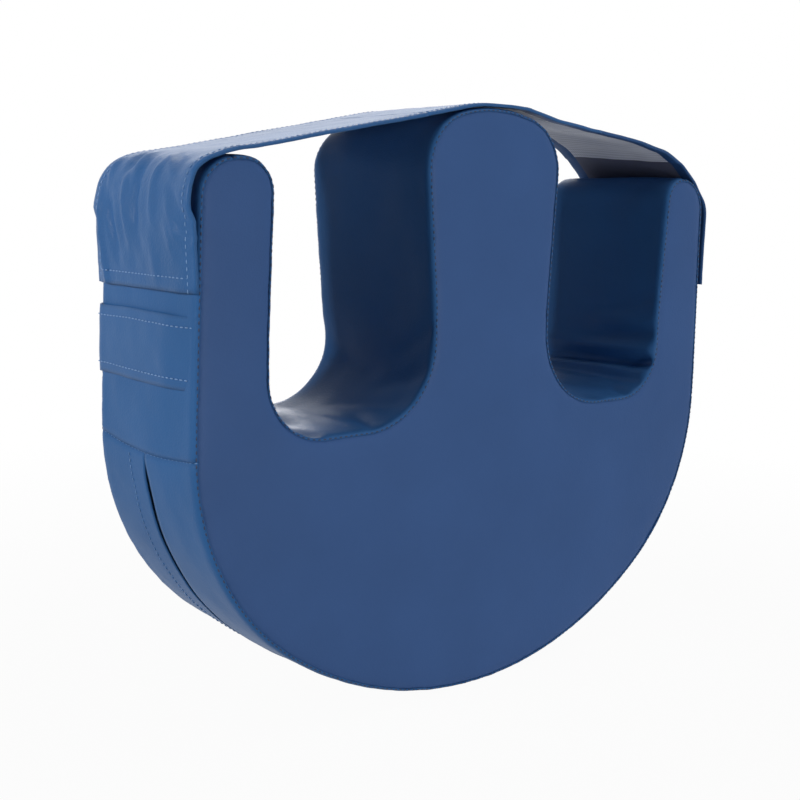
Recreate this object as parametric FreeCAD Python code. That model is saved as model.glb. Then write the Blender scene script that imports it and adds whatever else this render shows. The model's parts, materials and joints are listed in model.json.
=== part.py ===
import FreeCAD, Part
import math
import os

V = FreeCAD.Vector

# Leg turning cushion, in mm. +X runs across the two leg channels, +Y from the front panel to the
# back panel, +Z up. Z = 0 is the lowest line of the rocker base and X = Y = 0 is its middle.

# ---- overall sizes
body_width = 450.0
body_depth = 118.0
arm_top = 352.0
post_top = 390.5
arm_thick = 49.0
channel_floor = 188.5
channel_corner_r = 46.0
post_waist = 108.0
post_shoulder = 121.6
post_corner_r = 38.0
post_crown_r = 120.0
post_crown_rise = 11.0
rocker_share = 1.05778  # rocker radius over half the width
rocker_flat = 40.0  # width that the foam presses flat under its own weight
rocker_inset = 4.3  # how far in from the side the rocker arc stops
rocker_blend = 0.92  # share of that corner's room that its round takes

# ---- cover and clearances
skin = 1.2
seat_gap = 0.3
sewn_gap = 0.15
seam_above_rocker = 20.5
lining_edge = 5.0

# ---- zip placket along the rocker base
slit_y = -3.0
slit_width = 4.4
front_hem = 12.0
rear_hem = 20.0
groove_side_gap = 1.3
groove_depth = 10.6

# ---- zip
tape = 0.6
coil_thick = 2.0
coil_width = 2.4
coil_apart = 1.2
run_gap = 0.4
slider_width = 11.0
slider_length = 16.0
slider_plate = 0.9
slider_from_end_deg = 5.5
stop_from_end_deg = 2.6
tape_from_end_deg = 1.0
stop_length = 3.0
tab_width = 3.4
tab_thick = 1.0
tab_length = 20.0
bridge_width = 1.2
bridge_thick = 0.9

# ---- closing strap
strap_sheet = 1.2
strap_hem_thick = 1.0
strap_hem = 9.0
strap_side_gap = 0.5
strap_bend_r = 90.0
strap_drop = 16.3
crest_half = 19.0
anchor_reach = 74.0
tail_reach = 69.0
hinge_gap = 0.6
fold_x = 32.0
facing = 1.0
hook = 1.2
loop = 1.2
tape_margin = 7.0

# ---- hand bands
band_low = 222.5
band_high = 264.0
band_thick = 1.8
band_gap = 5.2
band_flat = 8.0
band_rise = 22.0

half_w = body_width / 2
half_d = body_depth / 2
arm_r = arm_thick / 2
arm_x = half_w - arm_r
arm_z = arm_top - arm_r
channel_wall = half_w - arm_thick
rocker_r = half_w * rocker_share
rocker_half = math.asin((half_w - rocker_inset) / rocker_r)
rocker_half_deg = math.degrees(rocker_half)
settle = rocker_r - math.sqrt(rocker_r**2 - (rocker_flat / 2) ** 2)
rocker_z = rocker_r - settle
rocker_top = rocker_z - rocker_r * math.cos(rocker_half) + rocker_inset * math.tan(rocker_half)
rocker_blend_r = rocker_blend * rocker_inset / math.cos(rocker_half) / math.tan(math.pi / 4 - rocker_half / 2)
seam_z = rocker_top + seam_above_rocker
slider_rest_deg = rocker_half_deg - slider_from_end_deg
stop_deg = rocker_half_deg - stop_from_end_deg
tape_end_deg = rocker_half_deg - tape_from_end_deg
lift_x = 0.5 - arm_x
tail_x = channel_wall
anchor_low = arm_top - anchor_reach
tail_low = arm_top - tail_reach
strap_thick = strap_sheet + strap_hem_thick
strap_y = half_d - strap_side_gap


# ---- flat outlines: corners are (x, z, r) and every round is a true arc
def unit(a, b):
    length = math.hypot(b[0] - a[0], b[1] - a[1])
    return (b[0] - a[0]) / length, (b[1] - a[1]) / length


def shifted(corners, distance, closed):
    """The same outline moved to the left of its direction of travel, rounds kept concentric."""
    count = len(corners)
    out = []
    for i, (x, z, r) in enumerate(corners):
        before = None if i == 0 and not closed else unit(corners[i - 1], corners[i])
        after = None if i == count - 1 and not closed else unit(corners[i], corners[(i + 1) % count])
        u = before or after
        v = after or before
        bend = u[0] * v[1] - u[1] * v[0]
        share = 1 + u[0] * v[0] + u[1] * v[1]
        nx = -(u[1] + v[1]) / share
        nz = (u[0] + v[0]) / share
        radius = max(r - distance * math.copysign(1.0, bend), 0.0) if r else 0.0
        out.append((x + nx * distance, z + nz * distance, radius))
    return out


def path_edges(corners, closed):
    """Lines and tangent arcs through the corners, in the plane y = 0."""
    count = len(corners)
    stops = []
    for i, (x, z, r) in enumerate(corners):
        if (not closed and i in (0, count - 1)) or r == 0:
            stops.append(((x, z), None, (x, z)))
            continue
        u = unit(corners[i - 1], corners[i])
        v = unit(corners[i], corners[(i + 1) % count])
        turn = math.acos(max(-1.0, min(1.0, u[0] * v[0] + u[1] * v[1])))
        reach = r * math.tan(turn / 2)
        side = math.copysign(1.0, u[0] * v[1] - u[1] * v[0])
        start = (x - u[0] * reach, z - u[1] * reach)
        end = (x + v[0] * reach, z + v[1] * reach)
        centre = (start[0] - u[1] * r * side, start[1] + u[0] * r * side)
        out = unit(centre, (x, z))
        middle = (centre[0] + out[0] * r, centre[1] + out[1] * r)
        stops.append((start, middle, end))
    edges = []
    for i in range(count if closed else count - 1):
        start, end = stops[i][2], stops[(i + 1) % count][0]
        if stops[i][1]:
            edges.append(arc(stops[i]))
        if math.hypot(end[0] - start[0], end[1] - start[1]) > 1e-5:
            edges.append(Part.makeLine(flat(start), flat(end)))
    return edges


def flat(point):
    return V(point[0], 0, point[1])


def arc(stop):
    return Part.Arc(*(flat(p) for p in stop)).toShape()


def filled(corners):
    return Part.Face(Part.Wire(path_edges(corners, True)))


def ribbon(corners, near, far):
    """A strip of sheet seen edge on, between two lines parallel to the open path."""
    a = path_edges(shifted(corners, near, False), False)
    b = path_edges(shifted(corners, far, False), False)
    a_ends = a[0].Vertexes[0].Point, a[-1].Vertexes[-1].Point
    b_ends = b[0].Vertexes[0].Point, b[-1].Vertexes[-1].Point
    caps = [Part.makeLine(a_ends[i], b_ends[i]) for i in (0, 1)]
    return Part.Face(Part.Wire(Part.__sortEdges__(a + caps + b)))


def deep(face, low_y, high_y):
    return face.translated(V(0, low_y, 0)).extrude(V(0, high_y - low_y, 0))


def block(x, y, z):
    return Part.makeBox(x[1] - x[0], y[1] - y[0], z[1] - z[0], V(x[0], y[0], z[0]))


def mirrored(shape):
    return shape.mirror(V(0, 0, 0), V(1, 0, 0))


# ---- the W-shaped outline of the cover, anticlockwise from the lowest line
def half_outline():
    """The right half: rocker arc, outer side, arm, leg channel and middle post."""
    shoulder_z = post_top + post_crown_r * (1 / math.cos(crown_angle()) - 1) - post_crown_rise * 4 / 3
    return [
        (half_w, rocker_top, rocker_blend_r),
        (half_w, arm_top, arm_r),
        (channel_wall, arm_top, arm_r),
        (channel_wall, channel_floor, channel_corner_r),
        (post_waist / 2, channel_floor, channel_corner_r),
        (post_shoulder / 2, shoulder_z, post_corner_r),
    ]


def crown_angle():
    return math.atan2(post_crown_rise * 4 / 3, post_shoulder / 2)


def cover_outline(inset=0.0):
    first = math.asin(rocker_flat / 2 / rocker_r) + 0.02
    flat_half = rocker_r * math.sin(first) - (rocker_z - rocker_r * math.cos(first)) / math.tan(first)
    middle = (rocker_half + first) / 2
    reach = rocker_r / math.cos((rocker_half - first) / 2)
    crown = (0.0, post_top + post_crown_r * (1 / math.cos(crown_angle()) - 1), post_crown_r)
    right = [
        (flat_half, 0.0, 0.0),
        (reach * math.sin(middle), rocker_z - reach * math.cos(middle), rocker_r),
    ]
    right += half_outline()
    left = [(-x, z, r) for x, z, r in reversed(right)]
    return shifted(right + [crown] + left, inset, True)


def cover_ring(outer_inset, inner_inset, low_y, high_y):
    outer = filled(cover_outline(outer_inset))
    inner = filled(cover_outline(inner_inset))
    return deep(outer.cut(inner), low_y, high_y)


everywhere = (-2 * body_width, 2 * body_width)


# ---- foam and cover
def foam_core():
    foam = deep(filled(cover_outline(skin + seat_gap)), -half_d + skin + seat_gap, half_d - skin - seat_gap)
    slit_edges = slit_y - slit_width / 2, slit_y + slit_width / 2
    low_y = slit_edges[0] - front_hem - groove_side_gap
    high_y = slit_edges[1] + rear_hem + groove_side_gap
    groove = cover_ring(0, groove_depth, low_y, high_y)
    return foam.cut(groove.common(block(everywhere, everywhere, (-10, seam_z - 4)).cut(lining_room())))


def face_panel(low_y):
    return deep(filled(cover_outline(skin)), low_y, low_y + skin)


def gusset(x, z):
    return cover_ring(0, skin, -half_d, half_d).common(block(x, everywhere, z))


def lining_room():
    """The space above the body of the cushion, between the middles of the two arm tops."""
    return block((-arm_x, arm_x), everywhere, (channel_floor - lining_edge, 2 * post_top))


def base_strip(low_y, high_y, hem_low_y, hem_high_y):
    strip = cover_ring(0, skin, low_y, high_y)
    hem = cover_ring(skin, 2 * skin, hem_low_y, hem_high_y)
    below_seam = block(everywhere, everywhere, (-10, seam_z)).cut(lining_room())
    below_groove_end = block(everywhere, everywhere, (-10, seam_z - 5)).cut(lining_room())
    return strip.common(below_seam).fuse(hem.common(below_groove_end)).removeSplitter()


# ---- zip: profiles are (y, depth below the cover) polygons turned about the rocker's own axis
rocker_centre = V(0, 0, rocker_z)


def turned(profile, from_deg, to_deg):
    points = [V(0, y, depth - settle) for y, depth in profile]
    face = Part.Face(Part.makePolygon(points + points[:1]))
    face = face.rotated(rocker_centre, V(0, 1, 0), -from_deg)
    return face.revolve(rocker_centre, V(0, 1, 0), from_deg - to_deg)


def rectangle(low_y, high_y, high_depth, low_depth):
    return [(low_y, high_depth), (high_y, high_depth), (high_y, low_depth), (low_y, low_depth)]


hem_under = 2 * skin + settle
slider_top = hem_under + tape
coil_room = coil_thick + run_gap
coil_top = slider_top + slider_plate + run_gap / 2
tape_mid = coil_top + coil_thick / 2
coil_inner = coil_apart / 2
coil_outer = coil_inner + coil_width


def zip_tape(side, reach):
    """Sewn under the hem, stepped down to the level of the coil."""
    low = hem_under + sewn_gap
    step = slider_width / 2 + 1.4
    profile = [
        (reach, low),
        (step, low),
        (step, tape_mid - tape / 2),
        (coil_inner + coil_width / 2, tape_mid - tape / 2),
        (coil_inner + coil_width / 2, tape_mid + tape / 2),
        (step + tape, tape_mid + tape / 2),
        (step + tape, low + tape),
        (reach, low + tape),
    ]
    solid = turned([(slit_y + side * y, d) for y, d in profile], -tape_end_deg, tape_end_deg)
    return solid.cut(zip_coil(side))


def zip_coil(side):
    edges = sorted((slit_y + side * coil_inner, slit_y + side * coil_outer))
    profile = rectangle(edges[0], edges[1], coil_top, coil_top + coil_thick)
    return turned(profile, -tape_end_deg, tape_end_deg)


def zip_stop(side, from_deg):
    """A metal clip pinched over the end of a coil."""
    to_deg = from_deg + math.degrees(stop_length / rocker_r)
    wide = sorted((slit_y + side * (coil_inner - 0.25), slit_y + side * (coil_outer + 0.5)))
    clip = turned(rectangle(wide[0], wide[1], coil_top - 0.5, coil_top + coil_thick + 0.5), from_deg, to_deg)
    return clip.cut(zip_coil(side)).cut(zip_tape(side, slider_width))


def bottom_stop():
    from_deg = -stop_deg - math.degrees(stop_length / rocker_r)
    reach = coil_outer + 0.5
    clip = turned(
        rectangle(slit_y - reach, slit_y + reach, coil_top - 0.5, coil_top + coil_thick + 0.5),
        from_deg,
        -stop_deg,
    )
    for side in (-1, 1):
        clip = clip.cut(zip_coil(side)).cut(zip_tape(side, slider_width))
    return clip


def zip_slider():
    span = math.degrees(slider_length / rocker_r) / 2
    ends = slider_rest_deg - span, slider_rest_deg + span
    reach = slider_width / 2
    coil_side = coil_outer + run_gap
    lip_top = tape_mid - tape / 2 - run_gap
    lip_low = tape_mid + tape / 2 + run_gap
    plate_low = coil_top + coil_thick + run_gap / 2
    upper = [
        (-reach, slider_top),
        (reach, slider_top),
        (reach, lip_top),
        (coil_side, lip_top),
        (coil_side, slider_top + slider_plate),
        (-coil_side, slider_top + slider_plate),
        (-coil_side, lip_top),
        (-reach, lip_top),
    ]
    lower = [
        (-reach, plate_low + slider_plate),
        (reach, plate_low + slider_plate),
        (reach, lip_low),
        (coil_side, lip_low),
        (coil_side, plate_low),
        (-coil_side, plate_low),
        (-coil_side, lip_low),
        (-reach, lip_low),
    ]
    body = turned([(slit_y + y, d) for y, d in upper], *ends)
    body = body.fuse(turned([(slit_y + y, d) for y, d in lower], *ends))
    post_half = coil_inner - run_gap / 2 - 0.1
    post_to = slider_rest_deg + span
    post_from = post_to - math.degrees(4.0 / rocker_r)
    post = turned(
        rectangle(slit_y - post_half, slit_y + post_half, slider_top + 0.1, plate_low + 0.1),
        post_from,
        post_to,
    )
    return body.fuse(post).fuse(bridge()).removeSplitter()


bridge_half = 3.4
bridge_high = 0.3
tab_pivot_depth = slider_top - run_gap - tab_thick / 2


def bridge():
    """The arch over the slider that holds the pull tab's bar."""
    low = slit_y - bridge_width / 2
    foot = slider_top - settle + 0.2
    arch = block((-bridge_half, bridge_half), (low, low + bridge_width), (bridge_high, foot))
    inside = bridge_half - bridge_thick
    arch = arch.cut(block((-inside, inside), everywhere, (bridge_high + bridge_thick, foot + 1)))
    return arch.rotated(rocker_centre, V(0, 1, 0), -slider_rest_deg)


def pull_pivot():
    """Where the tab's bar sits, with the slider parked at the closed end."""
    turn = math.radians(slider_rest_deg)
    radius = rocker_r - tab_pivot_depth
    return V(radius * math.sin(turn), slit_y, rocker_z - radius * math.cos(turn))


def pull_tab():
    """A narrow tab that hangs straight down from the bridge, out through the slit."""
    pivot = pull_pivot()
    half = tab_width / 2
    bar = tab_thick / 2
    ring = bridge_half + 1.4
    tab = block((-bar, bar), (-half, half), (-tab_length, bar))
    hole = block((-1, 1), (-bridge_width / 2 - run_gap, bridge_width / 2 + run_gap), (-ring, -bar))
    tab = tab.cut(hole)
    return tab.translated(pivot)


# ---- closing strap
anchor_x = -half_w - seat_gap - strap_thick
wrap_r = arm_r + seat_gap + strap_thick
crest_z = post_top + seat_gap + strap_thick
crest_run = arm_x - crest_half
crest_rise = crest_z - arm_z
lean = math.atan2(crest_rise, crest_run) - math.asin(wrap_r / math.hypot(crest_run, crest_rise))
leave = (-arm_x - wrap_r * math.sin(lean), arm_z + wrap_r * math.cos(lean))


def left_line(x):
    return leave[1] + math.tan(lean) * (x - leave[0])


shoulder = (channel_wall - 26.0, crest_z - strap_drop)
over_arm = (arm_x + 6.0, arm_top + 9.9)
tail_outer_x = half_w + loop + seat_gap + hook + facing + strap_thick
tail_wrap_r = arm_r + seat_gap + strap_thick + facing
tail_dir = (0.741, -0.671)
tail_touch = (arm_x - tail_dir[1] * (tail_wrap_r + 1.5), arm_z + tail_dir[0] * (tail_wrap_r + 1.5))


def cross(p, direction, q, other):
    """Where the line through p meets the line through q."""
    share = direction[0] * other[1] - direction[1] * other[0]
    reach = ((q[0] - p[0]) * other[1] - (q[1] - p[1]) * other[0]) / share
    return p[0] + direction[0] * reach, p[1] + direction[1] * reach


def strap_line():
    """The strap's outer surface from the left hem, over the three tops, to the tail's hem."""
    knee = cross(shoulder, unit(shoulder, over_arm), tail_touch, tail_dir)
    elbow = cross(tail_touch, tail_dir, (tail_outer_x, 0), (0, 1))
    return [
        (anchor_x, anchor_low, 0),
        (anchor_x, left_line(anchor_x), wrap_r),
        (-crest_half, crest_z, strap_bend_r),
        (crest_half, crest_z, strap_bend_r),
        (shoulder[0], shoulder[1], strap_bend_r),
        (knee[0], knee[1], 20),
        (elbow[0], elbow[1], 20),
        (tail_outer_x, tail_low, 0),
    ]


def strap_layer(near, far, low_y, high_y):
    """Depths are measured inwards from the strap's outer surface."""
    return deep(ribbon(strap_line(), -near, -far), low_y, high_y)


def strap_room(edge=0.0):
    """Everything between the strap's long edges, or that far in from them."""
    return block(everywhere, (edge - strap_y, strap_y - edge), everywhere)


def strap_part(low_x, high_x):
    region = block((low_x, high_x), everywhere, (anchor_low - 1, 2 * post_top))
    sheet = strap_layer(0, strap_sheet, -half_d, half_d).common(strap_room())
    hems = strap_layer(strap_sheet, strap_thick, -half_d, half_d)
    hems = hems.common(strap_room()).cut(strap_room(strap_hem))
    return sheet.common(region).fuse(hems.common(region)).removeSplitter()


def tail_layer(near, far, low_x, margin):
    low = block((low_x, body_width), everywhere, (tail_low + margin, 2 * post_top))
    return strap_layer(near, far, -half_d, half_d).common(strap_room(margin)).common(low)


def hook_tape():
    x = tail_outer_x - strap_thick - facing
    high = arm_z - tape_margin
    return block((x - hook, x), (tape_margin - strap_y, strap_y - tape_margin), (tail_low + 4, high))


def loop_tape():
    high = arm_z - tape_margin
    reach = strap_y - tape_margin / 2
    return block((half_w, half_w + loop), (-reach, reach), (tail_low + 2, high))


# ---- hand bands
def hand_band():
    """Sewn flat at the front and back seams, bowed off the side in between for the fingers."""
    end = half_d - seat_gap
    flat_end = end - band_flat
    raised = flat_end - band_rise
    line = [
        (-end, half_w, 0),
        (-flat_end, half_w, 14),
        (-raised, half_w + band_gap, 14),
        (raised, half_w + band_gap, 14),
        (flat_end, half_w, 14),
        (end, half_w, 0),
    ]
    profile = ribbon(line, 0, band_thick)
    band = profile.extrude(V(0, band_high - band_low, 0))
    # stand the profile up: its first axis becomes depth, its second the way out of the side
    band.rotate(V(0, 0, 0), V(1, 0, 0), 90)
    band.rotate(V(0, 0, 0), V(0, 0, 1), -90)
    box = band.BoundBox
    return band.translated(V(0, -(box.YMin + box.YMax) / 2, band_low - box.ZMin))


def build():
    slit_front = slit_y - slit_width / 2
    slit_rear = slit_y + slit_width / 2
    side_x = (arm_x, half_w + 10)
    band = hand_band()
    parts = {
        "foam_core": foam_core(),
        "front_panel": face_panel(-half_d),
        "back_panel": face_panel(half_d - skin),
        "channel_lining": cover_ring(0, skin, -half_d, half_d).common(lining_room()),
        "right_side_panel": gusset(side_x, (seam_z, 2 * post_top)),
        "base_strip_front": base_strip(-half_d, slit_front, slit_front - front_hem, slit_front),
        "base_strip_rear": base_strip(slit_rear, half_d, slit_rear, slit_rear + rear_hem),
        "zip_tape_front": zip_tape(-1, front_hem + slit_width / 2 - 1),
        "zip_tape_rear": zip_tape(1, rear_hem / 2 + slit_width),
        "zip_coil_front": zip_coil(-1),
        "zip_coil_rear": zip_coil(1),
        "zip_top_stop_front": zip_stop(-1, stop_deg),
        "zip_top_stop_rear": zip_stop(1, stop_deg),
        "zip_bottom_stop": bottom_stop(),
        "zip_slider": zip_slider(),
        "zip_pull_tab": pull_tab(),
        "strap_anchor": strap_part(-body_width, lift_x - hinge_gap / 2),
        "strap_span_left": strap_part(lift_x + hinge_gap / 2, fold_x - hinge_gap / 2),
        "strap_span_right": strap_part(fold_x + hinge_gap / 2, tail_x - hinge_gap / 2),
        "strap_tail": strap_part(tail_x + hinge_gap / 2, body_width),
        "tail_facing": tail_layer(strap_thick, strap_thick + facing, tail_x + 1, 0.5),
        "hook_tape": hook_tape(),
        "loop_tape": loop_tape(),
        "left_hand_band": band,
        "right_hand_band": mirrored(band),
    }
    parts["left_side_panel"] = mirrored(parts["right_side_panel"])
    return parts


os.makedirs("parts", exist_ok=True)
for name, shape in build().items():
    shape.exportStep("parts/" + name + ".step")
    box = shape.BoundBox
    print(
        "%-20s solids %d valid %s  x %.1f..%.1f  y %.1f..%.1f  z %.1f..%.1f  volume %.0f"
        % (name, len(shape.Solids), shape.isValid(), box.XMin, box.XMax, box.YMin, box.YMax,
           box.ZMin, box.ZMax, shape.Volume)
    )
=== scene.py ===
"""Finish for the leg turning cushion: soft cover, strap, bands, seams, stitches and light."""
import json
import math

import bmesh
import bpy
import numpy as np
from mathutils import Matrix, Vector, noise
from mathutils.geometry import delaunay_2d_cdt

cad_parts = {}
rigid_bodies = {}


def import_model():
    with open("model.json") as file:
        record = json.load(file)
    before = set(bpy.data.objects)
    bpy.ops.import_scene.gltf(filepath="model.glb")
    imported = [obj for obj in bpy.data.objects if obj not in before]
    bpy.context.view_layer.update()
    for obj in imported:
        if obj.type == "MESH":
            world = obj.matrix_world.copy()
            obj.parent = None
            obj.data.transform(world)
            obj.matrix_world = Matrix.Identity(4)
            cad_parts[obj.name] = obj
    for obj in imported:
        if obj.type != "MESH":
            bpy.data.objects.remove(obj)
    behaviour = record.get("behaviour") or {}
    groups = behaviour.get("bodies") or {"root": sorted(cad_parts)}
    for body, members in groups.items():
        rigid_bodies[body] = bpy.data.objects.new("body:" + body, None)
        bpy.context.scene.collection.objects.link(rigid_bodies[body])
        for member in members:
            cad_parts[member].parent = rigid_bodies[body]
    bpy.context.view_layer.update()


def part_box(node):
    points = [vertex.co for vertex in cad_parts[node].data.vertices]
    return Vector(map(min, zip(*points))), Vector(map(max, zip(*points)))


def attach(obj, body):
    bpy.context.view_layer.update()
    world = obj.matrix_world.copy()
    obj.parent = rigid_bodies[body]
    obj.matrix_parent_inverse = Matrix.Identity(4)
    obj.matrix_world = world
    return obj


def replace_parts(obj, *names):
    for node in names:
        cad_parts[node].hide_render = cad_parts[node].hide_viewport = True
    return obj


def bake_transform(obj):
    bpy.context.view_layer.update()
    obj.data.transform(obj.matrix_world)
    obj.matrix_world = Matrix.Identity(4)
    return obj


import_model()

MM = 0.001

# ---- sizes in millimetres ------------------------------------------------------------------
def cad_box(node):
    """Lowest and highest corner of a CAD node, in millimetres."""
    low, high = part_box(node)
    return [v / MM for v in low], [v / MM for v in high]


side_high = cad_box("right_side_panel")[1]
top_high = cad_box("channel_lining")[1]
strap_high = cad_box("strap_span_left")[1]
band_low, band_high = cad_box("left_hand_band")

HALF_DEPTH = side_high[1] - 0.4  # gusset edges, front and back
PANEL_BULGE = 1.6  # how far the panels stand out beyond the gusset edges
SHEET = 1.2  # cover thickness
SEAM_ROLL = 4.5  # width over which the cover rolls into a seam
SEAM_DROP = 1.5  # and how deep it sinks there
END_ROLL, END_DROP = 2.6, 0.6  # the same where two cover pieces meet end to end
SEAM_CLEAR, TOP_CLEAR = 0.1, 0.3  # room between pieces at the cross seams and at the arm tops
COVER_SEED = 5  # for the cover's unevenness
STEP = 3.2  # spacing of the cover mesh
POST_BELLY = 6.0  # how far the post bulges to the left at the back
ARM_LEAN = 5.0  # how far the right arm leans to the left at the back
SETTLE = 1.5  # the base presses flat on the floor below this height
BAND_Z = (band_low[2], band_high[2])  # lower and upper edge of the hand bands
STRAP_HALF = strap_high[1] - 0.2  # half the strap's width
HEM = 9.0  # width of the strap's turned-under hems
HEM_ROW, END_ROW = 5.5, 8.0  # stitch rows from the strap's long edges and from its ends
SEWN = 46.0  # the strap's first stretch, sewn down on the left arm
BAND_ROW = 6.0  # stitch rows from a hand band's edges
REAR_HEM = 20.0  # from the slit's middle to the stitch row beside it
PANEL_IN = 1.7  # from the outline to a panel's edge
PANEL_RINGS = (2.4, 3.4, 5.0, 8, 12)  # rows of mesh points inside it
PANEL_GRID = 8.0  # spacing of the points further in
GRID_X, GRID_Z = (-222, 223), (4, 392)  # reach of those points
GRID_ROW = 0.87  # height of a row of even triangles
BAND_THICK, BAND_STAND = 1.9, 4.6  # a hand band, and how far it rises off its sewn edges
BAND_RISE = (34, 7)  # lengths over which it rises, from its front edge and from its back edge
SIDE_HEIGHTS, SIDE_FACES = (195, 352), (225.9, 222.0)  # the arm sides lean in between these heights
HEM_THICK = 2.0  # leather folded over at the strap's hems
SEAM_THREAD = 0.52  # half the thickness of the thread round the panels
BAND_STITCH = 2.9  # length of a stitch on the bands
FOAM_IN, GROOVE_IN = 9.0, 13.5  # how far the foam and its zip groove lie inside the outline
FOAM_HALF = 56.0  # half the foam's depth
STITCH_PITCH, STITCH_LENGTH = 4.0, 2.7
THREAD = 0.42  # half the thread's thickness
THREAD_DROP, THREAD_IN = 1.9, 0.15  # how far the panel seams' thread lies inside the cover's outline and edge

WIDE = side_high[0] / 225.0  # the outlines below are drawn for a body 225 mm to each side
TALL = top_high[2] / 390.46  # and a cover 390.46 mm high


def sized(corners):
    return [(x * WIDE, z * TALL, radius * WIDE) for x, z, radius in corners]


OUTLINE = [
    (0, -67, 265.6), (225.5, 102.6, 163.4), (226, 200, 300), (222.5, 351.5, 26), (181, 353.5, 19),
    (174, 245, 400), (175.5, 190, 36), (55.5, 190, 54), (55.2, 262, 300), (61.5, 379, 37),
    (0, 394.3, 120), (-62, 379, 38), (-51, 262, 250), (-51.5, 189.5, 52), (-175, 189, 38),
    (-175, 250, 400), (-171, 352.5, 20), (-220.5, 352.5, 25), (-226, 195, 300), (-225.5, 102.6, 163.4),
]
STRAP_LEFT = [
    (-227, 277, 0), (-228.8, 318, 80), (-221.8, 348.4, 28), (-205, 354.4, 30), (-60, 384, 120),
    (-17, 393.2, 100), (28, 393.6, 0),
]
STRAP_FRONT = [
    (28, 393.6, 0), (57, 387, 60), (143, 378, 120), (176, 372, 60), (196, 363, 30),
    (213, 350, 30), (229.2, 332, 18), (229.2, 271, 0),
]
STRAP_BACK = [
    (28, 393.6, 0), (100, 392.2, 300), (146, 391, 90), (185, 378.5, 60), (210, 357, 60),
    (229.2, 334, 24), (229.2, 271, 0),
]


# ---- outlines ------------------------------------------------------------------------------
def rounded(corners, closed, step=1.0):
    """Points about one step apart along lines and tangent arcs through the corners."""
    count = len(corners)
    places = [Vector((x, z)) for x, z, _ in corners]
    sides = [places[(i + 1) % count] - places[i] for i in range(count)]
    turns = [-sides[i - 1].angle_signed(sides[i]) for i in range(count)]
    if not closed:
        turns[0] = turns[-1] = 0.0
    reaches = [abs(corner[2] * math.tan(turn / 2)) for corner, turn in zip(corners, turns)]
    wanted = [max(reaches[i] + reaches[(i + 1) % count], 1e-9) for i in range(count)]
    share = [min(1.0, sides[i].length / wanted[i]) for i in range(count)]
    out = []
    for i, (x, z, r) in enumerate(corners):
        if not closed and i in (0, count - 1) or r == 0:
            out.append((x, z))
            continue
        run, turn = sides[i - 1].normalized(), turns[i]
        reach = reaches[i] * min(share[i - 1], share[i])
        radius = reach / math.tan(abs(turn) / 2) if abs(turn) > 1e-6 else 0
        start = Vector((x, z)) - run * reach
        side = Vector((-run.y, run.x)) * math.copysign(1, turn)
        centre = start + side * radius
        n = max(2, int(abs(turn) * radius / step))
        for k in range(n + 1):
            t = abs(turn) * k / n
            point = centre - side * radius * math.cos(t) + run * radius * math.sin(t)
            out.append((point.x, point.y))
    if closed:
        out.append(out[0])
    return np.array(out)


class Path:
    """A line in the x-z plane that can be read at any length along it."""

    def __init__(self, points):
        self.points = points
        steps = np.hypot(*np.diff(points, axis=0).T)
        self.s = np.concatenate(([0], np.cumsum(steps)))
        self.length = self.s[-1]

    def at(self, s):
        """Place at a length along the line."""
        x = np.interp(s, self.s, self.points[:, 0])
        z = np.interp(s, self.s, self.points[:, 1])
        return x, z

    def normal(self, s, reach=1.5):
        """Direction square to the line, pointing out of a closed outline."""
        x0, z0 = self.at(np.asarray(s) - reach)
        x1, z1 = self.at(np.asarray(s) + reach)
        dx, dz = x1 - x0, z1 - z0
        size = np.maximum(np.hypot(dx, dz), 1e-9)
        return dz / size, -dx / size

    def near(self, x, z):
        """Length along the line of its point nearest to a place."""
        return float(self.s[np.argmin(np.hypot(self.points[:, 0] - x, self.points[:, 1] - z))])


def unrolled(corners):
    """The closed outline as a path that runs twice round, starting at the lowest point."""
    points = rounded(corners, True)
    start = int(np.argmin(points[:, 1]))
    loop = np.concatenate((points[start:-1], points[:start]))
    return Path(np.concatenate((loop, loop, loop[:1])))


cover = unrolled(sized(OUTLINE))
ROUND = cover.length / 2


def smooth(x):
    x = np.clip(x, 0, 1)
    return x * x * (3 - 2 * x)


def round_wave(s, y, scale, scale_y, seed):
    """Noise along the closed outline that meets itself after one turn."""
    radius = ROUND / math.tau / scale
    angle = s / ROUND * math.tau
    return wave(radius * np.cos(angle), radius * np.sin(angle), y / scale_y, seed)


def wave(x, y, z, seed):
    """Smooth noise between about -1 and 1 for arrays of places."""
    flat = np.stack([np.ravel(np.broadcast_to(v, np.shape(x))) for v in (x, y, z)], axis=1)
    out = [noise.noise(Vector((p[0] + seed * 7.3, p[1] + seed, p[2] - seed))) for p in flat]
    return np.array(out).reshape(np.shape(x))


# ---- meshes --------------------------------------------------------------------------------
def new_piece(name, verts, faces, materials, index=None, uv=None):
    mesh = bpy.data.meshes.new(name)
    mesh.from_pydata([tuple(v) for v in np.asarray(verts) * MM], [], faces)
    for material in materials:
        mesh.materials.append(material)
    if index is not None:
        mesh.polygons.foreach_set("material_index", index)
    mesh.polygons.foreach_set("use_smooth", [True] * len(mesh.polygons))
    layer = mesh.uv_layers.new(name="cloth")
    if uv is not None:
        loops = np.empty(len(mesh.loops), dtype=np.int64)
        mesh.loops.foreach_get("vertex_index", loops)
        layer.data.foreach_set("uv", (np.asarray(uv)[loops] * MM).ravel())
    obj = bpy.data.objects.new(name, mesh)
    bpy.context.scene.collection.objects.link(obj)
    bm = bmesh.new()
    bm.from_mesh(mesh)
    bmesh.ops.recalc_face_normals(bm, faces=bm.faces)
    if bm.calc_volume(signed=True) < 0:
        bmesh.ops.reverse_faces(bm, faces=bm.faces)
    bm.to_mesh(mesh)
    bm.free()
    return obj


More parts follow.
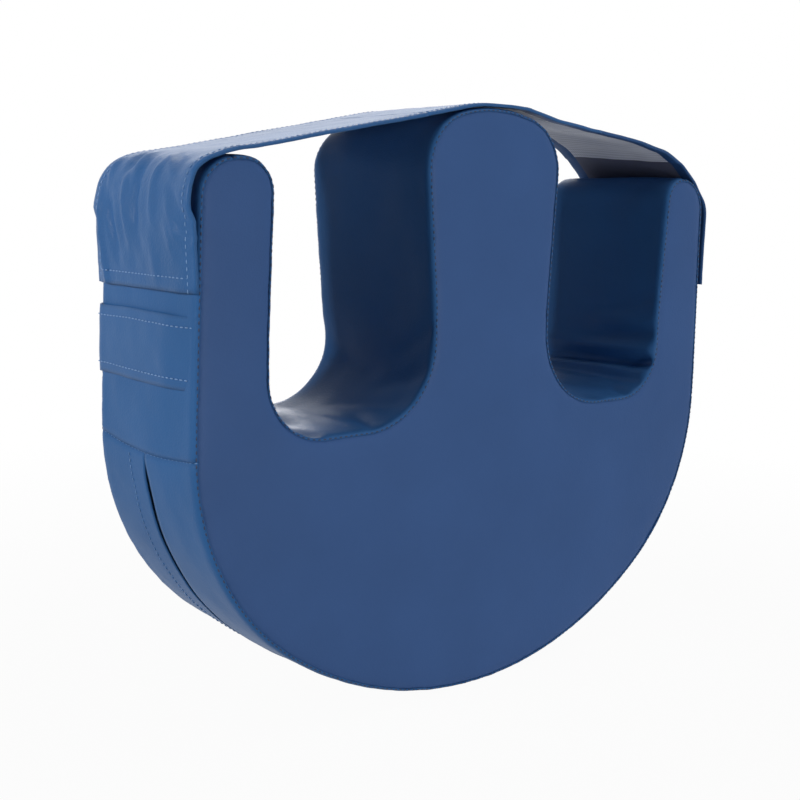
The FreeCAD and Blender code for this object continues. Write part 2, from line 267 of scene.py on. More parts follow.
def slab(name, top, under, materials, under_index=0, uv=None, wall=0):
    """A closed sheet between two grids of points, top and under, of the same shape."""
    rows, cols = top.shape[:2]
    verts = np.concatenate((top.reshape(-1, 3), under.reshape(-1, 3)))
    base = rows * cols
    faces, index = [], []
    for i in range(rows - 1):
        for j in range(cols - 1):
            a, b = i * cols + j, (i + 1) * cols + j
            faces.append((a, b, b + 1, a + 1))
            index.append(0)
            faces.append((base + a + 1, base + b + 1, base + b, base + a))
            index.append(int(under_index[i, j]) if np.ndim(under_index) else under_index)
    ring = list(range(cols)) + [i * cols + cols - 1 for i in range(1, rows)]
    ring += [(rows - 1) * cols + j for j in range(cols - 2, -1, -1)]
    ring += [i * cols for i in range(rows - 2, 0, -1)]
    for k, a in enumerate(ring):
        b = ring[(k + 1) % len(ring)]
        faces.append((a, b, base + b, base + a))
        index.append(wall)
    double = None if uv is None else np.concatenate((uv.reshape(-1, 2), uv.reshape(-1, 2)))
    return new_piece(name, verts, faces, materials, index, uv=double)


# ---- materials -----------------------------------------------------------------------------
def node_group(name, inputs, outputs):
    tree = bpy.data.node_groups.new(name, "ShaderNodeTree")
    for label, kind, default in inputs:
        socket = tree.interface.new_socket(label, in_out="INPUT", socket_type=kind)
        socket.default_value = default
    for label, kind in outputs:
        tree.interface.new_socket(label, in_out="OUTPUT", socket_type=kind)
    return tree, tree.nodes.new("NodeGroupInput"), tree.nodes.new("NodeGroupOutput")


def add(tree, kind, links=(), **values):
    node = tree.nodes.new(kind)
    for key, value in values.items():
        if key.startswith("in_"):
            node.inputs[int(key[3:])].default_value = value
        else:
            setattr(node, key, value)
    for socket, source in links:
        tree.links.new(source, node.inputs[socket])
    return node


def leather_group():
    """Colour and surface of PU leather: faint cloudy tone and a fine pebbled grain."""
    tree, source, sink = node_group(
        "leather_surface",
        [("Tone", "NodeSocketColor", (0.03, 0.115, 0.3, 1)), ("Cloud", "NodeSocketFloat", 0.1),
         ("Grain size", "NodeSocketFloat", 900.0), ("Grain depth", "NodeSocketFloat", 0.12),
         ("Crumple", "NodeSocketFloat", 0.25)],
        [("Color", "NodeSocketColor"), ("Normal", "NodeSocketVector")])
    where = add(tree, "ShaderNodeTexCoord").outputs["Object"]
    cloud = add(tree, "ShaderNodeTexNoise", [("Vector", where)], in_2=14.0, in_3=4.0)
    lighter = add(tree, "ShaderNodeMapRange", [(0, cloud.outputs[0])],
                  in_1=0.3, in_2=0.7, in_3=-1.0, in_4=1.0)
    amount = add(tree, "ShaderNodeMath", [(0, lighter.outputs[0]), (1, source.outputs["Cloud"])],
                 operation="MULTIPLY")
    factor = add(tree, "ShaderNodeMath", [(0, amount.outputs[0])], operation="ADD", in_1=1.0)
    tone = add(tree, "ShaderNodeVectorMath", [(0, source.outputs["Tone"]), ("Scale", factor.outputs[0])],
               operation="SCALE")
    cells = add(tree, "ShaderNodeTexVoronoi", [("Vector", where), ("Scale", source.outputs["Grain size"])],
                feature="SMOOTH_F1")
    grain = add(tree, "ShaderNodeBump", [("Strength", source.outputs["Grain depth"]),
                                         ("Height", cells.outputs["Distance"])])
    grain.inputs["Distance"].default_value = 0.0006
    folds = add(tree, "ShaderNodeTexNoise", [("Vector", where)], in_2=38.0, in_3=3.0)
    bump = add(tree, "ShaderNodeBump", [("Strength", source.outputs["Crumple"]), ("Height", folds.outputs[0]),
                                        ("Normal", grain.outputs[0])])
    bump.inputs["Distance"].default_value = 0.006
    tree.links.new(tone.outputs[0], sink.inputs["Color"])
    tree.links.new(bump.outputs[0], sink.inputs["Normal"])
    return tree


def knit_group():
    """Ribbed knit: rows of small loops running along the strap, with painted shade in the hollows between
    ribs and a painted highlight on their crests.
    """
    tree, source, sink = node_group(
        "knit_surface",
        [("Tone", "NodeSocketColor", (0.3, 0.33, 0.4, 1)), ("Rib pitch", "NodeSocketFloat", 700.0),
         ("Depth", "NodeSocketFloat", 0.6)],
        [("Color", "NodeSocketColor"), ("Normal", "NodeSocketVector")])
    where = add(tree, "ShaderNodeUVMap", uv_map="cloth").outputs[0]
    split = add(tree, "ShaderNodeSeparateXYZ", [(0, where)])
    waves = []
    for socket, ratio in ((1, 1.0), (0, 0.6)):
        pitch = add(tree, "ShaderNodeMath", [(0, source.outputs["Rib pitch"])],
                    operation="MULTIPLY", in_1=ratio)
        turn = add(tree, "ShaderNodeMath", [(0, split.outputs[socket]), (1, pitch.outputs[0])],
                   operation="MULTIPLY")
        turn = add(tree, "ShaderNodeMath", [(0, turn.outputs[0])], operation="MULTIPLY", in_1=math.tau)
        waves.append(add(tree, "ShaderNodeMath", [(0, turn.outputs[0])], operation="SINE"))
    both = add(tree, "ShaderNodeMath", [(0, waves[0].outputs[0]), (1, waves[1].outputs[0])], operation="ADD")
    height = add(tree, "ShaderNodeMapRange", [(0, both.outputs[0])],
                 in_1=-2.0, in_2=2.0, in_3=0.72, in_4=1.15)
    # the rib height scales the tone: painted shade in the hollows, painted highlight on the crests
    tone = add(tree, "ShaderNodeVectorMath", [(0, source.outputs["Tone"]), ("Scale", height.outputs[0])],
               operation="SCALE")
    bump = add(tree, "ShaderNodeBump", [("Strength", source.outputs["Depth"]), ("Height", height.outputs[0])])
    bump.inputs["Distance"].default_value = 0.0004
    tree.links.new(tone.outputs[0], sink.inputs["Color"])
    tree.links.new(bump.outputs[0], sink.inputs["Normal"])
    return tree


LEATHER, KNIT = leather_group(), knit_group()


def surface(name, tone, roughness, group, metallic=0.0, specular=0.5, sheen=0.0, **settings):
    """A material whose colour and fine relief come from one of the node groups."""
    material = bpy.data.materials.new(name)
    material.use_nodes = True
    tree = material.node_tree
    shader = tree.nodes["Principled BSDF"]
    shader.inputs["Roughness"].default_value = roughness
    shader.inputs["Metallic"].default_value = metallic
    shader.inputs["Specular IOR Level"].default_value = specular
    shader.inputs["Sheen Weight"].default_value = sheen
    shader.inputs["Base Color"].default_value = (*tone, 1)
    part = tree.nodes.new("ShaderNodeGroup")
    part.node_tree = group
    part.inputs["Tone"].default_value = (*tone, 1)
    for label, value in settings.items():
        part.inputs[label.replace("_", " ")].default_value = value
    tree.links.new(part.outputs["Color"], shader.inputs["Base Color"])
    tree.links.new(part.outputs["Normal"], shader.inputs["Normal"])
    return material


def thread(name, tone):
    return surface(name, tone, 0.6, LEATHER, Cloud=0.12, Grain_size=2600.0)


# the third colour, for the hems, is darker than the strap's blue: partly the hems' own navy and partly
# painted shade where the strap's underside and the last stretch's edges are seen from below
BLUE, PANEL_BLUE, HEM_BLUE_AND_SHADE = (0.032, 0.118, 0.305), (0.05, 0.114, 0.292), (0.03, 0.09, 0.24)
LIGHT_THREAD = (0.2, 0.34, 0.6)
cover_leather = surface("cover_leather", BLUE, 0.45, LEATHER, specular=0.1,
                        Cloud=0.06, Grain_depth=0.18, Crumple=0.1)
panel_leather = surface("panel_leather", PANEL_BLUE, 0.48, LEATHER, specular=0.1,
                        Cloud=0.05, Grain_depth=0.16, Crumple=0.08)
strap_leather = surface("strap_leather", BLUE, 0.42, LEATHER, specular=0.16,
                        Cloud=0.07, Grain_depth=0.3, Crumple=0.3)
band_leather = surface("band_leather", BLUE, 0.42, LEATHER, specular=0.14,
                       Cloud=0.05, Grain_depth=0.18, Crumple=0.06)
# darker hem leather: partly its own navy, partly painted shade on the strap's underside
hem_and_shade_leather = surface("hem_and_shade_leather", HEM_BLUE_AND_SHADE, 0.5, LEATHER, specular=0.14, Cloud=0.08, Grain_depth=0.18)
# the knit's near-white tone is partly its own pale grey and partly painted light, raised to brighten the
# strap's dimly lit underside
knit_cloth = surface("knit_cloth", (0.82, 0.84, 0.92), 0.85, KNIT, sheen=0.2, Rib_pitch=420.0)
facing_cloth = surface("facing_cloth", (0.1, 0.11, 0.17), 0.7, LEATHER, Cloud=0.15, Grain_size=1500.0)
foam_block = surface("foam_block", (0.5, 0.47, 0.36), 0.95, LEATHER, Cloud=0.1, Grain_size=1200.0)
seam_thread = thread("seam_thread", (0.012, 0.025, 0.075))
band_thread = thread("band_thread", LIGHT_THREAD)
strap_thread = thread("strap_thread", LIGHT_THREAD)
base_thread = thread("base_thread", (0.13, 0.26, 0.5))
zip_cloth = surface("zip_cloth", (0.012, 0.014, 0.022), 0.85, LEATHER, Cloud=0.1, Grain_size=1500.0)
zip_coil = surface("zip_coil", (0.02, 0.022, 0.03), 0.45, LEATHER, Cloud=0.05, Grain_size=800.0)
zip_metal = surface("zip_metal", (0.45, 0.46, 0.48), 0.3, LEATHER, metallic=1.0, Cloud=0.04, Grain_depth=0.02)
hook_cloth = surface("hook_cloth", (0.02, 0.022, 0.03), 0.8, LEATHER, Cloud=0.2, Grain_size=700.0)


# ---- the cover -----------------------------------------------------------------------------
def at(x, z):
    """Length along the outline, in its first turn, of the point nearest to a place."""
    s = cover.near(x, z)
    return s if s <= ROUND else s - ROUND


S_LEFT_BASE, S_RIGHT_BASE = at(-225.5, 180), at(225.5, 180)
S_RIGHT_TOP, S_LEFT_TOP = at(200.5, 352.5), at(-200.5, 352.5)


def cross_seam(y):
    """How far above its middle the seam between arm side and base strip runs, front to back."""
    return 4.5 * (y / HALF_DEPTH) ** 2 + 0.6 * y / HALF_DEPTH


def crease(s, y, centre, angle_deg, length, width, depth):
    """A fold (negative depth: a crease) about a line on the unrolled cover."""
    a = math.radians(angle_deg)
    ds, dy = s - centre[0], y - centre[1]
    along = ds * math.sin(a) + dy * math.cos(a)
    across = ds * math.cos(a) - dy * math.sin(a)
    return depth * np.exp(-((across / width) ** 2)) * np.exp(-((along / length) ** 4))


FOLDS = [  # (place x, z, y), angle from the depth direction, half length, half width, height
    ((-152, 190, -28), 22, 34, 6, -2.6), ((-140, 188, -14), 4, 40, 7, 1.8),
    ((-124, 188, -20), -14, 38, 7, -2.2), ((-108, 188, -30), 8, 30, 7, 1.6),
    ((-92, 190, -40), -20, 22, 5, -1.9), ((-165, 196, -46), 34, 16, 4, -2.0),
    ((-74, 196, -20), 14, 34, 7, -1.8), ((-60, 214, -34), 24, 26, 6, -1.5),
    ((-54, 240, -40), 30, 22, 6, -1.2), ((-58, 222, 20), -16, 34, 8, -1.4),
    ((-150, 189, 30), -14, 30, 8, -1.8),
    ((172, 211, -8), 2, 75, 4.4, -5.2), ((174, 221, -8), -2, 75, 6, 4.4),
    ((163, 200, 6), -3, 60, 3.5, -2.2), ((168, 205, -8), 0, 60, 3.4, 1.8),
    ((173, 232, -24), 8, 42, 5, -2.4), ((174, 242, -20), -6, 40, 5, 1.8),
    ((174, 252, -14), 10, 38, 6, -1.8),
    ((172, 215, -48), 30, 12, 3.5, -1.6), ((150, 190, -44), -25, 14, 4, -1.6),
    ((110, 188, -40), 12, 22, 6, -1.4), ((174, 300, 10), 8, 45, 9, -0.9),
    ((54, 210, 0), 5, 60, 10, -0.8), ((-52, 215, 10), -5, 60, 10, -0.8),
]


def relief(s, y):
    """Height of the cover above its plain outline, in millimetres."""
    s = np.mod(s, ROUND)
    d = HALF_DEPTH - np.abs(y)
    out = -SEAM_DROP * np.clip(1 - d / SEAM_ROLL, 0, 1) ** 2
    out = out + 0.7 * smooth(d / 40) + 0.4 * round_wave(s, y, 7.0, 60, COVER_SEED) * np.exp(-d / 9)
    out = out + 0.75 * round_wave(s, y, 42, 34, COVER_SEED + 1) * smooth(d / 16)
    out = out + 0.25 * round_wave(s, y, 15, 18, COVER_SEED + 2) * smooth(d / 12)
    for (x, z, fy), angle, length, width, depth in FOLDS:
        out = out + crease(s, y, (at(x, z), fy), angle, length, width, depth) * smooth(d / 5)
    return out


def hump(x, centre, width):
    return np.exp(-(((x - centre) / width) ** 2))


def lean(points):
    """Post and right arm lean to the left towards the back, and the base presses flat on the floor."""
    x, y, z = points[..., 0], points[..., 1], points[..., 2]
    out = np.array(points)
    belly = POST_BELLY * hump(x, -52, 16) * smooth((z - 215) / 50) * smooth((392 - z) / 40)
    shoulder = ARM_LEAN * hump(x, 178, 22) * smooth((z - 270) / 60)
    out[..., 0] = x - (belly + shoulder) * smooth((y + 30) / 88)
    out[..., 2] = np.where(z > SETTLE, z, SETTLE * np.exp(np.minimum(z / SETTLE - 1, 0)))
    return out


def cover_grid(s, y, height):
    """Outside and inside of a cover piece, as two grids of points."""
    x, z = cover.at(s)
    nx, nz = cover.normal(s)
    top = np.stack([x + nx * height, y, z + nz * height], axis=2)
    under = np.stack([x + nx * (height - SHEET), y, z + nz * (height - SHEET)], axis=2)
    return lean(top), lean(under)


def cover_piece(name, s_start, s_end, y_start, y_end, extra=None):
    """A cover piece; the limits are functions of the other direction, so edges may curve."""
    rows = max(4, int((s_end(0.0) - s_start(0.0)) / STEP))
    middle_s = (s_start(0.0) + s_end(0.0)) / 2
    span = y_end(np.array(middle_s)) - y_start(np.array(middle_s))
    cols = max(6, int(float(span) / STEP))
    u = np.linspace(0, 1, rows + 1)[:, None]
    v = np.linspace(0, 1, cols + 1)[None, :]
    closer = 0.5 - 0.5 * np.cos(np.pi * v)  # columns that close up towards the edges
    v = 0.72 * v + 0.28 * closer
    ends_s = np.array([s_start(0.0), s_end(0.0)])
    first, last = y_start(ends_s), y_end(ends_s)
    near, far = (y_a + (y_b - y_a) * v for y_a, y_b in zip(first, last))
    s = s_start(near) + (s_end(far) - s_start(near)) * u
    y = y_start(s) + (y_end(s) - y_start(s)) * v
    height = relief(s, y)
    for limit in (s_start(near), s_end(far)):
        height = height - END_DROP * np.clip(1 - np.abs(s - limit) / END_ROLL, 0, 1) ** 2
    if extra:
        height = height + extra(s, y)
    top, under = cover_grid(s, y, height)
    uv = np.stack([s, y], axis=2)
    piece = slab(name, top, under, [cover_leather], uv=uv)
    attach(piece, "cushion")
    return piece


def const(value):
    """A straight limit, the same at every place along the other direction."""
    return lambda other: value + 0 * other


def slit_middle(s):
    """The slit runs a little in front of the middle, and nearer to it at both ends of the base."""
    z = cover.at(s)[1]
    return -3.0 + 1.8 * smooth((z - 150) / 30)


def slit_half(s):
    """Half the slit's width: all but closed at its ends, and a little wider on the right."""
    x, z = cover.at(s)
    opening = smooth((178 - z) / 16)
    return 0.15 + (1.95 + 0.2 * smooth(x / 100)) * opening


def lip(s, y):
    """The front strip's hem stands a little proud beside the slit."""
    z = cover.at(s)[1]
    return 1.9 * smooth((y + 17) / 9) * smooth((62 - z) / 40)


def base_from(y):
    """Left end of the base strips, which run on through the lowest point into the second turn."""
    return S_LEFT_BASE - cross_seam(y)


def base_to(y):
    return S_RIGHT_BASE + cross_seam(y) + ROUND


def left_side_end(y):
    """Lower edge of the left side piece, just clear of the base strips."""
    return base_from(y) - SEAM_CLEAR


def right_side_start(y):
    return base_to(y) - ROUND + SEAM_CLEAR


def slit_front(s):
    """Edge of the front base strip along the zip slit."""
    return slit_middle(s) - slit_half(s)


def slit_rear(s):
    return slit_middle(s) + slit_half(s)


FRONT_EDGE, BACK_EDGE = const(-HALF_DEPTH), const(HALF_DEPTH)
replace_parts(cover_piece("base_front", base_from, base_to, FRONT_EDGE, slit_front, extra=lip),
            "base_strip_front")
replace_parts(cover_piece("base_rear", base_from, base_to, slit_rear, BACK_EDGE), "base_strip_rear")
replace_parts(cover_piece("side_right", right_side_start, const(S_RIGHT_TOP - TOP_CLEAR),
                        FRONT_EDGE, BACK_EDGE), "right_side_panel")
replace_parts(cover_piece("side_left", const(S_LEFT_TOP + TOP_CLEAR), left_side_end,
                        FRONT_EDGE, BACK_EDGE), "left_side_panel")
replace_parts(cover_piece("channels", const(S_RIGHT_TOP + TOP_CLEAR), const(S_LEFT_TOP - TOP_CLEAR),
                        FRONT_EDGE, BACK_EDGE), "channel_lining")


def inset_loop(distance, step):
    """The outline moved inwards, as points about one step apart."""
    count = int(ROUND / step)
    s = ROUND / 2 + np.arange(count) * ROUND / count
    x, z = cover.at(s)
    nx, nz = cover.normal(s)
    return np.stack([x - nx * distance, z - nz * distance], axis=1)


def filled(loop, rings=(), grid=0.0):
    """Triangles inside a loop, with rings of points and a plain grid further in."""
    points = [tuple(p) for p in loop]
    edges = [(i, (i + 1) % len(loop)) for i in range(len(loop))]
    for ring in rings:
        points += [tuple(p) for p in ring]
    if grid:
        outer = inset_loop(0, 3.0)
        deepest = rings[-1]
        xs = np.arange(*GRID_X, grid)
        zs = np.arange(*GRID_Z, grid * GRID_ROW)
        for k, z in enumerate(zs):
            for x in xs + (grid / 2 if k % 2 else 0):
                near = np.min(np.hypot(deepest[:, 0] - x, deepest[:, 1] - z))
                clear = np.min(np.hypot(outer[:, 0] - x, outer[:, 1] - z)) > PANEL_RINGS[-1] + grid * 0.5
                if near > grid * 0.7 and clear and inside(x, z, outer):
                    points.append((x, z))
    verts, _, faces, *_ = delaunay_2d_cdt([Vector(p) for p in points], edges, [], 1, 1e-5)
    return np.array([(v.x, v.y) for v in verts]), [tuple(f) for f in faces]


def inside(x, z, loop):
    """Whether a point lies inside a closed loop, by counting the edges to its right."""
    a, b = loop, np.roll(loop, -1, axis=0)
    hit = (a[:, 1] > z) != (b[:, 1] > z)
    cut = a[:, 0] + (z - a[:, 1]) * (b[:, 0] - a[:, 0]) / np.where(hit, b[:, 1] - a[:, 1], 1)
    return np.count_nonzero(hit & (x < cut)) % 2 == 1


PANEL_FOLDS = [  # x, z, angle from the x direction, half length, half width, height
    (186, 81, 35, 16, 4, -0.8), (178, 95, 40, 14, 4, 0.6), (-190, 190, 20, 20, 8, -0.7),
    (-60, 195, 60, 22, 7, -0.7), (60, 195, 120, 22, 7, -0.7), (172, 192, 60, 18, 6, -0.7),
]


def panel(name, side, node, seed):
    """Front or back panel: flat in the middle, rolling into the seam all round."""
    loop = inset_loop(PANEL_IN, STEP)
    rings = [inset_loop(d, STEP * (1 + d / 12)) for d in PANEL_RINGS]
    flat, faces = filled(loop, rings, PANEL_GRID)
    outer = inset_loop(0, 1.5)
    d = np.array([np.min(np.hypot(outer[:, 0] - p[0], outer[:, 1] - p[1])) for p in flat])
    x, z = flat[:, 0], flat[:, 1]
    rise = PANEL_BULGE * (1 - np.exp(-(d - PANEL_IN) / 1.8)) + 0.5 * smooth(d / 45)
    rise = rise + 0.4 * wave(x / 7, z / 7, 0 * x, seed) * np.exp(-d / 7) * smooth(d / 2)
    rise = rise + 0.5 * wave(x / 55, z / 55, 0 * x, seed + 1) * smooth(d / 14)
    for fx, fz, angle, length, width, depth in PANEL_FOLDS:
        a = math.radians(angle)
        along = (x - fx) * math.cos(a) + (z - fz) * math.sin(a)
        across = (z - fz) * math.cos(a) - (x - fx) * math.sin(a)
        rise = rise + depth * np.exp(-((across / width) ** 2) - (along / length) ** 4) * smooth(d / 4)
    depth_out = HALF_DEPTH - SHEET + rise
    top = np.stack([x, side * depth_out, z], axis=1)
    under = np.stack([x, side * (depth_out - SHEET), z], axis=1)
    count = len(flat)
    edge = {}
    for f in faces:
        for k in range(len(f)):
            a, b = f[k], f[(k + 1) % len(f)]
            edge[(a, b)] = edge.get((a, b), 0) + 1
    rim = [(a, b) for (a, b) in edge if (b, a) not in edge]
    all_faces = faces + [tuple(v + count for v in reversed(f)) for f in faces]
    all_faces += [(b, a, a + count, b + count) for a, b in rim]
    uv = np.concatenate((flat, flat))
    piece = new_piece(name, lean(np.concatenate((top, under))), all_faces, [panel_leather], uv=uv)
    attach(piece, "cushion")
    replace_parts(piece, node)


panel("cover_front", -1, "front_panel", 11)
panel("cover_back", 1, "back_panel", 12)


def foam():
    """Foam block just under the cover, with a groove for the zip round the base."""
    stations = [(-FOAM_HALF, FOAM_IN), (-19.0, FOAM_IN), (-17.5, GROOVE_IN), (13.0, GROOVE_IN),
                (14.5, FOAM_IN), (FOAM_HALF, FOAM_IN)]
    count = int(ROUND / 6)
    s = ROUND / 2 + np.arange(count) * ROUND / count
    x, z = cover.at(s)
    nx, nz = cover.normal(s)
    low = smooth((172 - z) / 12) * (np.abs(x) < 230) * (nz < 0.35)
    verts, faces = [], []
    for y, base_inset in stations:
        inset = FOAM_IN + (base_inset - FOAM_IN) * low
        verts += [(a, y, b) for a, b in zip(x - nx * inset, z - nz * inset)]
    for k in range(len(stations) - 1):
        for i in range(count):
            a, b = k * count + i, k * count + (i + 1) % count
            faces.append((a, b, b + count, a + count))
    last = (len(stations) - 1) * count
    _, cap = filled([(verts[i][0], verts[i][2]) for i in range(count)])
    faces += [tuple(reversed(f)) for f in cap]
    faces += [tuple(v + last for v in f) for f in cap]
    piece = new_piece("foam", lean(np.array(verts)), faces, [foam_block])
    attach(piece, "cushion")
    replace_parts(piece, "foam_core")


foam()


# ---- hand bands ----------------------------------------------------------------------------
def hand_band(name, side, node):
    """A band laid across an arm side, standing off it in front; gives back its two stitch rows."""
    rows, cols = 14, 44
    z = np.linspace(BAND_Z[0], BAND_Z[1], rows + 1)[:, None]
    y = np.linspace(-HALF_DEPTH + 0.3, HALF_DEPTH - 0.3, cols + 1)[None, :]
    z, y = z + 0 * y, y + 0 * z
    z = z + 0.8 * wave(y / 30, z / 40, 0 * z, 5 * side)
    face_x = np.interp(z, SIDE_HEIGHTS, SIDE_FACES)
    end = HALF_DEPTH - np.abs(y)
    rise = -1.4 + BAND_STAND * smooth(end / np.where(y < 0, *BAND_RISE)) ** 0.8
    t = (z - BAND_Z[0]) / (BAND_Z[1] - BAND_Z[0])
    rise = rise + (0.9 * np.clip(np.sin(np.pi * t), 0, 1) ** 0.7 - 0.5) * smooth(end / 10)
    rise = rise + 0.35 * wave(y / 14, z / 12, 0 * z, 9 * side) * smooth(end / 8)
    thick = BAND_THICK * np.clip(np.minimum(t, 1 - t) * rows * 0.6 + 0.35, 0, 1)
    top = np.stack([side * (face_x + rise), y, z], axis=2)
    under = np.stack([side * (face_x + rise - thick), y, z], axis=2)
    piece = slab(name, top, under, [band_leather], uv=np.stack([z, y], axis=2))
    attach(piece, "cushion")
    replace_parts(piece, node)
    rows_of_stitches = []
    for off in (BAND_ROW, BAND_Z[1] - BAND_Z[0] - BAND_ROW):
        i = off / (BAND_Z[1] - BAND_Z[0]) * rows
        k = int(i)
        line = top[k] * (1 - (i - k)) + top[k + 1] * (i - k)
        line = line + np.array([side * 0.12, 0, 0])
        rows_of_stitches.append(line[2:-2])
    return rows_of_stitches


band_rows = hand_band("band_left", -1, "left_hand_band") + hand_band("band_right", 1, "right_hand_band")


# ---- the strap -----------------------------------------------------------------------------
left_path = Path(rounded(sized(STRAP_LEFT), False))
front_path = Path(rounded(sized(STRAP_FRONT), False))
back_path = Path(rounded(sized(STRAP_BACK), False))
RIGHT_LENGTH = max(front_path.length, back_path.length)
STRAP_LENGTH = left_path.length + RIGHT_LENGTH


def strap_point(s, y):
    """Place and outward normal on the strap's top, at a length along it and a depth."""
    mix = smooth((y + STRAP_HALF) / (2 * STRAP_HALF))

    def place(s):
        share = np.clip((s - left_path.length) / RIGHT_LENGTH, 0, 1)
        lx, lz = left_path.at(np.minimum(s, left_path.length))
        fx, fz = front_path.at(share * front_path.length)
        bx, bz = back_path.at(share * back_path.length)
        on_right = s > left_path.length
        return np.where(on_right, fx + (bx - fx) * mix, lx), np.where(on_right, fz + (bz - fz) * mix, lz)

    x, z = place(s)
    x0, z0 = place(s - 2.0)
    x1, z1 = place(s + 2.0)
    size = np.maximum(np.hypot(x1 - x0, z1 - z0), 1e-9)
    return x, z, -(z1 - z0) / size, (x1 - x0) / size


STRAP_FOLDS = [  # length along the strap, depth, angle, half length, half width, height
    (26, 46, 80, 28, 2.6, 2.4), (42, 36, 66, 28, 3.4, -3.0), (62, 44, 72, 18, 3.0, 2.5),
    (54, 6, 82, 24, 3.0, -2.4), (42, 16, 74, 26, 3.0, 2.2), (58, -14, 78, 20, 3.0, 1.9),
    (80, 30, 62, 14, 4, -2.4), (78, 20, 66, 12, 3.4, 1.4), (72, -22, 35, 18, 2.0, 1.3),
    (76, -27, 35, 18, 2.0, -1.2), (48, -44, 40, 12, 2.6, -1.5), (41, -38, 60, 14, 2.6, 1.3),
    (35, -48, 25, 12, 2.2, -1.2), (30, -36, 70, 12, 2.6, 0.9), (96, 0, 0, 60, 8, 0.8),
    (26, 12, 62, 18, 4.5, -1.4), (18, -18, 76, 14, 4.5, 1.0), (34, 0, 70, 14, 3.4, -1.2),
    (330, -10, 4, 60, 12, -0.8), (455, 10, -4, 60, 9, 0.8), (470, 0, 4, 60, 7, -0.8),
]


def strap_height(s, y):
    """Folds, stitched hems and the sewn end, as height above the strap's plain run."""
    d = STRAP_HALF - np.abs(y)
    out = 0.45 * wave(s / 30, y / 26, 0 * s, 21) + 0.2 * wave(s / 10, y / 12, 0 * s, 22)
    out = out - 0.35 * np.exp(-(((d - HEM_ROW) / 1.1) ** 2)) - 0.3 * np.clip(1 - d / 1.5, 0, 1)
    for fs, fy, angle, length, width, depth in STRAP_FOLDS:
        out = out + crease(s, y, (fs, fy), angle, length, width, depth)
    end = np.minimum(s, STRAP_LENGTH - s)
    out = out - 0.35 * np.exp(-(((end - END_ROW) / 1.2) ** 2))
    # The front edge stands off at the arm's upper corner.
    stand = smooth((s - 42) / 10) * smooth((84 - s) / 12) * smooth((-y - 34) / 22)
    out = out + 2.6 * stand * (1 + 0.5 * wave(s / 9, y / 40, 0 * s, 23))
    # The long edges are drawn down where the strap is sewn on.
    sewn = smooth((SEWN - s) / 8)
    return out - 2.8 * sewn * np.clip(1 - d / 18, 0, 1) ** 1.3


def strap_piece(name, s_start, s_end, nodes, wall=0):
    """One stretch of the strap: leather above, hems and knit below, a smooth facing at the tail."""
    rows = max(4, int((s_end - s_start) / 3.0))
    cols = 44
    s = np.linspace(s_start, s_end, rows + 1)[:, None]
    v = np.linspace(-1, 1, cols + 1)[None, :]
    y = STRAP_HALF * np.sign(v) * np.abs(v) ** 0.9
    s, y = s + 0 * y, y + 0 * s
    x, z, nx, nz = strap_point(s, y)
    height = strap_height(s, y)
    wide = y * (1 + 0.016 * smooth((SEWN - s) / 8))
    edge = STRAP_HALF - np.abs(y)
    thick = np.where((edge < HEM) & (s < TAIL_FACING), HEM_THICK, SHEET)
    top = np.stack([x + nx * height, wide, z + nz * height], axis=2)
    under = np.stack([x + nx * (height - thick), wide, z + nz * (height - thick)], axis=2)
    middle = (y[:-1, :-1] + y[1:, 1:]) / 2
    middle_s = (s[:-1, :-1] + s[1:, 1:]) / 2
    index = np.where(np.abs(middle) > STRAP_HALF - HEM, 1, 2)
    index = np.where((middle_s > TAIL_FACING) & (index == 2), 3, index)
    materials = [strap_leather, hem_and_shade_leather, knit_cloth, facing_cloth]
    uv = np.stack([s, y], axis=2)
    piece = slab(name, top, under, materials, index, uv=uv, wall=wall)
    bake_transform(piece)
    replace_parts(piece, *nodes)


TAIL_FACING = left_path.length + RIGHT_LENGTH * 0.6
S_A = left_path.near(-100, 376)
S_B = left_path.length + RIGHT_LENGTH * 0.27
A_JOINT = ("cushion", "strap_left", Vector((-0.214, 0, 0.352)), Vector((-0.186, 0, 0.358)))
B_JOINT = ("strap_left", "strap_right", Vector((0.031, 0, 0.393)), Vector((0.064, 0, 0.388)))
C_JOINT = ("strap_right", "tail", Vector((0.164, 0, 0.374)), Vector((0.190, 0, 0.366)))
strap_piece("strap_a", 0.0, S_A, ["strap_anchor"])
strap_piece("strap_b", S_A, S_B, ["strap_span_left"])
# the last stretch's edges take the darker hem leather: painted shade on the edges seen from below
strap_piece("strap_c", S_B, STRAP_LENGTH, ["strap_span_right", "strap_tail", "tail_facing"], wall=1)


def strap_rows(s_start, s_end):
    """Stitch lines along both long edges, and across the hems at the two ends."""
    lines = []
    s = np.arange(s_start, s_end, 2.0)
    for side in (-1, 1):
        y = side * (STRAP_HALF - HEM_ROW) + 0 * s
        x, z, nx, nz = strap_point(s, y)
        h = strap_height(s, y) + 0.25
        lines.append(np.stack([x + nx * h, y, z + nz * h], axis=1))
    for place in (END_ROW, STRAP_LENGTH - END_ROW):
        if s_start <= place <= s_end:
            y = np.arange(-STRAP_HALF + 6, STRAP_HALF - 5, 2.0)
            s0 = place + 0 * y
            x, z, nx, nz = strap_point(s0, y)
            h = strap_height(s0, y) + 0.25
            lines.append(np.stack([x + nx * h, y, z + nz * h], axis=1))
    return lines


